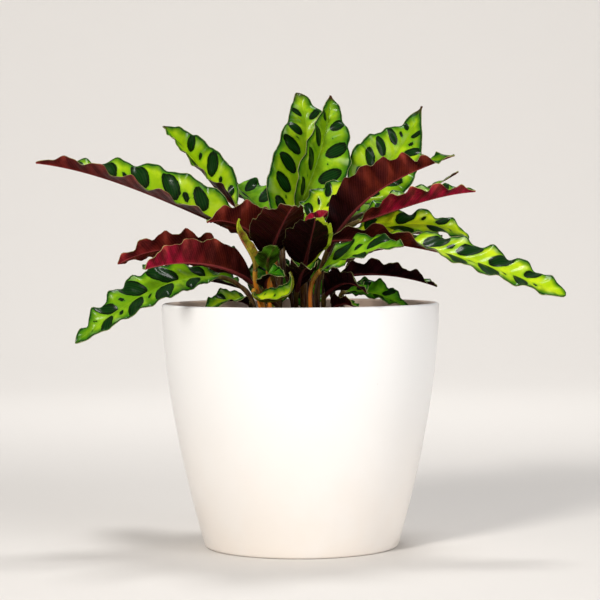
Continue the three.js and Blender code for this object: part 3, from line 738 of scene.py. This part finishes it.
class Nodes:
    """A small helper to write a node tree as expressions."""

    def __init__(self, name):
        self.material = bpy.data.materials.new(name)
        self.material.use_nodes = True
        self.tree = self.material.node_tree
        self.shader = self.tree.nodes["Principled BSDF"]

    def put(self, target, value):
        if isinstance(value, bpy.types.NodeSocket):
            self.tree.links.new(value, target)
        elif isinstance(value, tuple) and len(value) == 3 and target.type == "RGBA":
            target.default_value = (*value, 1)
        else:
            target.default_value = value

    def set(self, **values):
        for key, value in values.items():
            self.put(self.shader.inputs[key.replace("_", " ")], value)

    def field(self, name):
        node = self.tree.nodes.new("ShaderNodeAttribute")
        node.attribute_name = name
        return node.outputs["Fac"]

    def math(self, operation, a, b=0.0):
        node = self.tree.nodes.new("ShaderNodeMath")
        node.operation = operation
        self.put(node.inputs[0], a)
        self.put(node.inputs[1], b)
        return node.outputs[0]

    def step(self, value, low, high):
        """A soft step from 0 where value is low to 1 where it is high. high may be the lower number."""
        node = self.tree.nodes.new("ShaderNodeMapRange")
        node.interpolation_type = "SMOOTHSTEP"
        self.put(node.inputs["Value"], value)
        node.inputs["From Min"].default_value = low
        node.inputs["From Max"].default_value = high
        return node.outputs["Result"]

    def range(self, value, low, high, to_low, to_high):
        node = self.tree.nodes.new("ShaderNodeMapRange")
        self.put(node.inputs["Value"], value)
        for key, number in (("From Min", low), ("From Max", high), ("To Min", to_low), ("To Max", to_high)):
            node.inputs[key].default_value = number
        return node.outputs["Result"]

    def mix(self, share, a, b):
        node = self.tree.nodes.new("ShaderNodeMix")
        node.data_type = "RGBA"
        self.put(node.inputs[0], share)
        self.put(node.inputs[6], a)
        self.put(node.inputs[7], b)
        return node.outputs[2]

    def over(self, color, where, share, top):
        """color with this share of top laid over it, where the mask is 1."""
        return self.mix(self.math("MULTIPLY", where, share), color, top)

    def place(self, stretch=(1, 1, 1)):
        coordinates = self.tree.nodes.new("ShaderNodeTexCoord")
        mapping = self.tree.nodes.new("ShaderNodeMapping")
        mapping.inputs["Scale"].default_value = stretch
        self.tree.links.new(coordinates.outputs["Object"], mapping.inputs["Vector"])
        return mapping.outputs["Vector"]

    def noise(self, size, detail=3.0, roughness=0.5, stretch=(1, 1, 1)):
        """Noise whose blotches are about this many millimetres across."""
        node = self.tree.nodes.new("ShaderNodeTexNoise")
        node.inputs["Scale"].default_value = 1 / (size * MM)
        node.inputs["Detail"].default_value = detail
        node.inputs["Roughness"].default_value = roughness
        self.tree.links.new(self.place(stretch), node.inputs["Vector"])
        return node.outputs["Fac"]

    def cells(self, size, feature="F1"):
        node = self.tree.nodes.new("ShaderNodeTexVoronoi")
        node.feature = feature
        node.inputs["Scale"].default_value = 1 / (size * MM)
        self.tree.links.new(self.place(), node.inputs["Vector"])
        return node.outputs["Distance"]

    def bump(self, height, depth, before=None):
        """Bumps this many millimetres deep."""
        node = self.tree.nodes.new("ShaderNodeBump")
        node.inputs["Distance"].default_value = depth * MM
        self.put(node.inputs["Height"], height)
        if before is not None:
            self.put(node.inputs["Normal"], before)
        return node.outputs["Normal"]


def vein_lines(n, step):
    """1 on the side veins, which run forward from the midrib and waver a little, and 0 between them."""
    waver = n.math("MULTIPLY", n.noise(9), VEIN_WAVER)
    turn = n.math("MULTIPLY", n.math("ADD", n.field("vein"), waver), 2 * math.pi / step)
    return n.range(n.math("SINE", turn), -1, 1, 0, 1)


def uneven(n, field, size, depth):
    """A field in millimetres, made uneven by noise."""
    shift = n.math("MULTIPLY", n.math("SUBTRACT", n.noise(size, 2), 0.5), depth)
    return n.math("ADD", n.field(field), shift)


def leaf_upper():
    n = Nodes("leaf_upper")
    lime = n.field("lime")
    cloud = n.noise(11, 3)
    fine = n.noise(1.6, 2)
    crest = n.field("crest")
    margin = uneven(n, "margin", 5, 2.0)
    oval = uneven(n, "oval", 3, 0.9)
    bright = n.mix(lime, *BRIGHT)
    ground = n.mix(lime, *GROUND)
    ground = n.over(ground, n.step(cloud, 0.42, 0.64), 0.7, bright)
    # Painted light on the crests of the waves, then painted shade in their troughs
    ground = n.over(ground, n.step(crest, 0.1, 1), 0.35, bright)
    ground = n.over(ground, n.step(crest, 0.0, -0.9), 0.55, TROUGH_SHADE_GREEN)
    ground = n.over(ground, n.step(margin, 5.5, 1.6), 0.85, OUTER_GREEN)
    # Painted highlight: pale patches of sheen on some wave crests
    painted_sheen = n.math("MULTIPLY", n.step(n.noise(13, 2), 0.5, 0.66), n.step(crest, 0.1, 0.9))
    ground = n.over(ground, painted_sheen, 0.4, PAINTED_SHEEN)
    ground = n.over(ground, n.step(oval, -1.0, -0.1), 0.45, HALO_GREEN)
    inside = n.mix(n.step(oval, 0.2, 1.8), OVAL_RIM, OVAL_MIDDLE)
    color = n.mix(n.step(oval, -0.15, 0.15), ground, inside)
    color = n.mix(n.step(margin, 1.7, 1.1), color, MARGIN_GREEN)
    color = n.over(color, vein_lines(n, VEIN_STEP), 0.03, VEIN_LIME)
    color = n.over(color, n.step(n.field("rib"), 0.6, 0.2), 0.5, RIB_LIME)
    color = n.over(color, n.step(n.field("margin"), 0.26, 0.14), 0.7, EDGE_STRAW)
    tip = n.math("ADD", n.field("share"), n.math("MULTIPLY", cloud, 0.1))
    color = n.mix(n.math("MULTIPLY", n.field("dry"), n.step(tip, 0.97, 1.04)), color, DRY_BROWN)
    color = n.mix(n.step(n.field("to_blade"), -3, 0.5), color, NECK_OLIVE)
    bump = n.bump(fine, 0.03)
    bump = n.bump(n.step(oval, -0.5, 0.7), 0.05, bump)
    n.set(Base_Color=color, Roughness=n.range(fine, 0.3, 0.7, 0.28, 0.38), Normal=bump)
    n.set(Specular_IOR_Level=0.03, Coat_Weight=0.13, Coat_Roughness=0.17)
    return n.material


def leaf_lower():
    n = Nodes("leaf_lower")
    share = n.field("share")
    crest = n.field("crest")
    # Painted shade: the lower face darkens towards the leaf's base, deep in the plant
    ember_and_shade = n.math("MULTIPLY", n.field("ember_and_shade"), n.step(share, -0.25, 0.4))
    cloud = n.noise(9, 4, 0.6)
    fine = n.noise(1.2, 2)
    # A dark red used as painted shade in troughs and pleat folds, and for random dark blotches
    shade_and_blotch = n.mix(ember_and_shade, *SHADE_AND_BLOTCH_RED)
    # Low values give near-black maroon, which is painted shade
    color = n.mix(n.step(ember_and_shade, 0.08, 0.5), SHADE_MAROON, BRICK)
    color = n.mix(n.step(ember_and_shade, 0.5, 1), color, CRIMSON)
    # Painted highlight on the crests of the waves
    color = n.over(color, n.step(crest, 0.0, 1), 0.75, n.mix(n.step(ember_and_shade, 0.1, 0.9), *CREST_HIGHLIGHT_RED))
    # Painted shade in the troughs of the waves, then random dark blotches
    color = n.over(color, n.step(crest, 0.2, -0.7), 0.85, shade_and_blotch)
    color = n.over(color, n.step(cloud, 0.4, 0.66), 0.65, shade_and_blotch)
    color = n.over(color, n.step(n.field("oval"), -0.4, 0.5), 0.4, OVAL_RED)
    # Painted shade along the folds of the pleats between the side veins
    color = n.over(color, n.math("POWER", vein_lines(n, PLEAT_STEP), 2), 0.5, shade_and_blotch)
    veins = vein_lines(n, VEIN_STEP)
    color = n.over(color, n.math("POWER", veins, 5), 0.15, n.mix(ember_and_shade, *VEIN_RED))
    rib_color = n.mix(n.math("POWER", ember_and_shade, 0.5), *RIB_RED)
    color = n.over(color, n.step(n.field("rib"), 0.95, 0.55), 0.75, rib_color)
    young = n.math("MULTIPLY", n.field("young"), n.step(cloud, 0.75, 0.3))
    young = n.math("MAXIMUM", young, n.step(n.field("curl"), 0, 0.4))
    color = n.mix(young, color, n.mix(n.field("lime"), *YOUNG_GREEN))
    broken = n.range(n.noise(16, 1), 0.4, 0.6, 0.25, 1)
    edge = n.math("MULTIPLY", n.step(n.field("margin"), 0.22, 0.1), broken)
    color = n.mix(edge, color, n.mix(ember_and_shade, *EDGE_TAN))
    color = n.mix(n.math("MULTIPLY", n.field("dry"), n.step(share, 0.95, 1.0)), color, DRY_BROWN)
    bump = n.bump(n.math("POWER", veins, 3), 0.08)
    bump = n.bump(fine, 0.05, bump)
    n.set(Base_Color=color, Roughness=n.range(fine, 0.3, 0.7, 0.34, 0.5), Normal=bump)
    n.set(Specular_IOR_Level=0.03)
    return n.material


def leaf_stalk():
    n = Nodes("leaf_stalk")
    tone = n.field("stalk")
    streak = n.noise(1.4, 3, 0.6, (1, 1, 0.12))
    # Dark stalks are darkened as painted shade
    color = n.mix(n.step(tone, 0, 0.4), STALK_DARK_SHADE, STALK_BROWN)
    color = n.mix(n.step(tone, 0.4, 1), color, STALK_ORANGE)
    color = n.over(color, n.step(streak, 0.4, 0.62), 0.5, n.mix(tone, *STREAK))
    color = n.over(color, n.step(n.field("to_blade"), 10, 4), 0.4, n.mix(tone, *KNEE))
    n.set(Base_Color=color, Roughness=n.range(streak, 0.3, 0.7, 0.3, 0.5), Normal=n.bump(streak, 0.12))
    n.set(Specular_IOR_Level=0.15)
    return n.material


def pot_glaze():
    n = Nodes("pot_glaze")
    place = n.tree.nodes.new("ShaderNodeSeparateXYZ")
    n.tree.links.new(n.place(), place.inputs[0])
    cloud = n.noise(28, 3)
    grain = n.noise(0.5, 2)
    # Painted reflection: a warm tint low on the wall, as from a wooden table below
    color = n.over(GLAZE, n.step(place.outputs["Z"], 120 * MM, -40 * MM), 0.75, PAINTED_TABLE_REFLECTION)
    color = n.over(color, n.step(cloud, 0.4, 0.7), 0.3, GLAZE_CLOUD)
    color = n.over(color, n.field("inside"), 0.9, GLAZE_INSIDE)
    color = n.over(color, n.step(n.noise(1.1, 2, 0.6), 0.76, 0.8), 0.5, GLAZE_SPECK)
    bump = n.bump(cloud, 0.12)
    bump = n.bump(grain, 0.015, bump)
    n.set(Base_Color=color, Roughness=n.range(grain, 0.3, 0.7, 0.3, 0.4), Normal=bump)
    n.set(Coat_Weight=0.15, Coat_Roughness=0.3)
    return n.material


def soil_earth():
    n = Nodes("soil_earth")
    cloud = n.noise(6, 4, 0.65)
    crumb = n.cells(1.3)
    color = n.mix(n.step(cloud, 0.35, 0.7), DARK_EARTH, BROWN_EARTH)
    color = n.over(color, n.step(crumb, 0.45, 0.1), 0.5, CRUMB_EDGE)
    bump = n.bump(cloud, 0.8)
    bump = n.bump(crumb, 0.4, bump)
    n.set(Base_Color=color, Roughness=0.95, Normal=bump)
    return n.material


def plain(name, color, roughness):
    n = Nodes(name)
    n.set(Base_Color=color, Roughness=roughness)
    return n.material


# Pot and soil


def wall_curve(inset):
    """Points of the wall's curve from rim to foot, moved in by inset."""
    s = np.linspace(0, 1, WALL_STEPS + 1)[:, None]
    ends = np.array([[RIM_RADIUS, POT_HEIGHT - WALL / 2], BELLY, [FOOT_RADIUS, FOOT_EDGE]], float)
    ends = ends - [inset, 0]
    return (1 - s) ** 2 * ends[0] + 2 * s * (1 - s) * ends[1] + s * s * ends[2]


def lathe(name, profile, inside, around, material):
    """A profile of radius and height, from axis to axis, turned about Z. inside is 1 on its inner side."""
    profile = np.asarray(profile, float)
    inner = profile[1:-1]
    angle = np.linspace(0, 2 * math.pi, around, endpoint=False)
    ring = np.stack([np.cos(angle), np.sin(angle)], 1)
    verts = [[*(r * xy), z] for r, z in inner for xy in ring]
    verts += [[0, 0, profile[0][1]], [0, 0, profile[-1][1]]]
    first, last = len(verts) - 2, len(verts) - 1
    faces = []
    for i in range(len(inner) - 1):
        for k in range(around):
            n = (k + 1) % around
            faces.append((i * around + k, i * around + n, (i + 1) * around + n, (i + 1) * around + k))
    end = (len(inner) - 1) * around
    for k in range(around):
        n = (k + 1) % around
        faces.append((first, n, k))
        faces.append((end + k, end + n, last))
    within = np.append(np.repeat(inside[1:-1], around), [inside[0], inside[-1]])
    return make_object(name, verts, faces, [material], fields={"inside": within})


def make_pot():
    """The pot, from its foot up the outer wall, over the lip and down to the middle of its floor."""
    foot = [[0, 0], [FOOT_RADIUS / 2, 0]]
    foot += [[FOOT_RADIUS - back * FOOT_EDGE, up * FOOT_EDGE] for back, up in FOOT_ROUND]
    outer = wall_curve(0)[::-1]
    centre = np.array([RIM_RADIUS - WALL / 2, POT_HEIGHT - WALL / 2])
    turns = np.linspace(0, math.pi, LIP_STEPS + 1)[1:-1]
    lip = [centre + WALL / 2 * np.array([math.cos(a), math.sin(a)]) for a in turns]
    inner = [point for point in wall_curve(WALL) if point[1] > FLOOR + BOWL_TOP]
    bowl = [[inner[-1][0] - back, FLOOR + up] for back, up in BOWL_ROUND] + [[0, FLOOR]]
    profile = [*foot, *outer, *lip, *inner, *bowl]
    hidden = len(lip) // 2 + len(inner) + len(bowl)
    inside = [0] * (len(profile) - hidden) + [1] * hidden
    pot = lathe("pot_fine", profile, inside, POT_SIDES, pot_glaze())
    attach(pot, "root")
    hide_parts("pot")


def wall_radius(inset, height):
    """Radius of the wall's curve, moved in by inset, at a height."""
    curve = wall_curve(inset)[::-1]
    return float(np.interp(height, curve[:, 1], curve[:, 0]))


def crumb(rng, middle, size):
    """Points and faces of one crumb of soil, an uneven octahedron."""
    corners = np.array([[1, 0, 0], [0, 1, 0], [-1, 0, 0], [0, -1, 0], [0, 0, 1], [0, 0, -1]], float)
    corners *= [[rng.uniform(*CRUMB_STRETCH)] * 3 for _ in corners]
    turn = rng.uniform(0, math.pi)
    c, s = math.cos(turn), math.sin(turn)
    corners = corners @ np.array([[c, -s, 0], [s, c, 0], [0, 0, 1]])
    faces = [(0, 1, 4), (1, 2, 4), (2, 3, 4), (3, 0, 4), (1, 0, 5), (2, 1, 5), (3, 2, 5), (0, 3, 5)]
    return corners * size + middle, faces


def soil_height(x, y, rim, bumps):
    """Height of the soil's bumpy top over the pot's base."""
    crown = SOIL_CROWN * (1 - math.hypot(x, y) / rim)
    rough = 0
    for rate, turn, shift in bumps:
        way = x * math.cos(turn) + y * math.sin(turn)
        rough += math.sin(rate * way + shift) / (BUMP_CALM + BUMP_FALL * rate)
    return SOIL_TOP - SOIL_SINK + crown + BUMP_HEIGHT * rough


def make_soil_body(rim, bumps):
    """A bumpy top of rings round the middle, with a plain side and underside."""
    angles = np.linspace(0, 2 * math.pi, SOIL_SIDES, endpoint=False)
    verts = [[0, 0, soil_height(0, 0, rim, bumps)]]
    for radius in np.linspace(0, 1, SOIL_RINGS + 1)[1:] * rim:
        for a in angles:
            x, y = radius * math.cos(a), radius * math.sin(a)
            verts.append([x, y, soil_height(x, y, rim, bumps)])
    low = len(verts)
    bottom = SOIL_TOP - SOIL_DEPTH
    verts += [[(rim - SOIL_TAPER) * math.cos(a), (rim - SOIL_TAPER) * math.sin(a), bottom] for a in angles]
    verts.append([0, 0, bottom])
    faces = []
    for k in range(SOIL_SIDES):
        n = (k + 1) % SOIL_SIDES
        faces.append((0, 1 + k, 1 + n))
        for ring in range(1, low, SOIL_SIDES):
            after = ring + SOIL_SIDES
            faces.append((ring + k, after + k, after + n, ring + n))
        faces.append((low + n, low + k, len(verts) - 1))
    soil = make_object("soil_fine", verts, faces, [soil_earth()])
    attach(soil, "root")
    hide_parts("soil")


def make_crumbs(name, count, sizes, material, rng, rim, bumps):
    """Crumbs strewn on the soil, as one piece."""
    points, sides = [], []
    for _ in range(count):
        radius, turn = (rim - CRUMB_SPREAD) * math.sqrt(rng.random()), rng.uniform(0, 2 * math.pi)
        x, y = radius * math.cos(turn), radius * math.sin(turn)
        size = rng.uniform(*sizes)
        height = soil_height(x, y, rim, bumps) + CRUMB_LIFT * size
        corners, triangles = crumb(rng, np.array([x, y, height]), size)
        sides += [tuple(len(points) + c for c in triangle) for triangle in triangles]
        points += corners.tolist()
    bits = make_object(name, points, sides, [material])
    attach(bits, "root")


def make_soil():
    rng = random.Random(SEED)
    rim = wall_radius(WALL + SOIL_GAP, SOIL_TOP) - SOIL_EDGE
    bumps = [(rng.uniform(*BUMP_RATES), rng.uniform(*TURN), rng.uniform(*TURN)) for _ in range(BUMPS)]
    make_soil_body(rim, bumps)
    make_crumbs("soil_crumbs", **CRUMBS, material=soil_earth(), rng=rng, rim=rim, bumps=bumps)
    grain = plain("perlite", GRAIN_WHITE, 0.9)
    make_crumbs("soil_perlite", **WHITE_GRAINS, material=grain, rng=rng, rim=rim, bumps=bumps)


# Stage, lights and camera


def make_stage():
    """A pale round floor that sweeps up into a wall all round."""
    steps = np.linspace(0, math.pi / 2, STAGE_CURVE_STEPS + 1)
    flat = STAGE_RADIUS - STAGE_CURVE
    profile = [(flat + STAGE_CURVE * math.sin(a), STAGE_CURVE * (1 - math.cos(a))) for a in steps]
    angles = np.linspace(0, 2 * math.pi, STAGE_SIDES, endpoint=False)
    verts = [[r * math.cos(a), r * math.sin(a), z] for r, z in profile for a in angles] + [[0, 0, 0]]
    faces = []
    for k in range(STAGE_SIDES):
        n = (k + 1) % STAGE_SIDES
        faces.append((k, n, len(verts) - 1))
        for i in range(len(profile) - 1):
            a, b = i * STAGE_SIDES, (i + 1) * STAGE_SIDES
            faces.append((a + k, b + k, b + n, a + n))
    floor = make_object("floor", verts, faces, [plain("floor_paint", FLOOR_PAINT, 0.8)])


def make_light(name, place, aim, size, power, tint):
    """A round lamp that faces the point aim."""
    lamp = bpy.data.lights.new(name, "AREA")
    lamp.shape = "DISK"
    lamp.size = size
    lamp.energy = power
    lamp.color = tint
    obj = bpy.data.objects.new(name, lamp)
    obj.location = place
    direction = np.array(place, float) - np.array(aim, float)
    yaw = math.atan2(direction[0], -direction[1])
    obj.rotation_euler = (math.acos(direction[2] / np.linalg.norm(direction)), 0, yaw)
    bpy.context.scene.collection.objects.link(obj)


def make_sky():
    world = bpy.data.worlds.new("studio")
    world.use_nodes = True
    background = world.node_tree.nodes["Background"]
    background.inputs["Color"].default_value = (*SKY_TINT, 1)
    background.inputs["Strength"].default_value = SKY_STRENGTH
    bpy.context.scene.world = world


def make_camera():
    lens = bpy.data.cameras.new("camera")
    lens.sensor_width = SENSOR
    lens.lens = LENS
    lens.clip_end = FAR_LIMIT
    camera = bpy.data.objects.new("camera", lens)
    camera.location = (0, -VIEW_DISTANCE * MM, VIEW_HEIGHT * MM)
    camera.rotation_euler = (math.pi / 2 - VIEW_PITCH, VIEW_ROLL, 0)
    bpy.context.scene.collection.objects.link(camera)
    bpy.context.scene.camera = camera


make_camera()
make_pot()
make_soil()
leaf_materials = [leaf_upper(), leaf_lower(), leaf_stalk()]
for leaf_name, leaf_shape in LEAVES.items():
    make_leaf(leaf_name, leaf_shape, leaf_materials)
make_stage()
for light_name, light in LIGHTS.items():
    make_light(light_name, **light)
make_sky()
bpy.context.scene.view_settings.view_transform = "Standard"
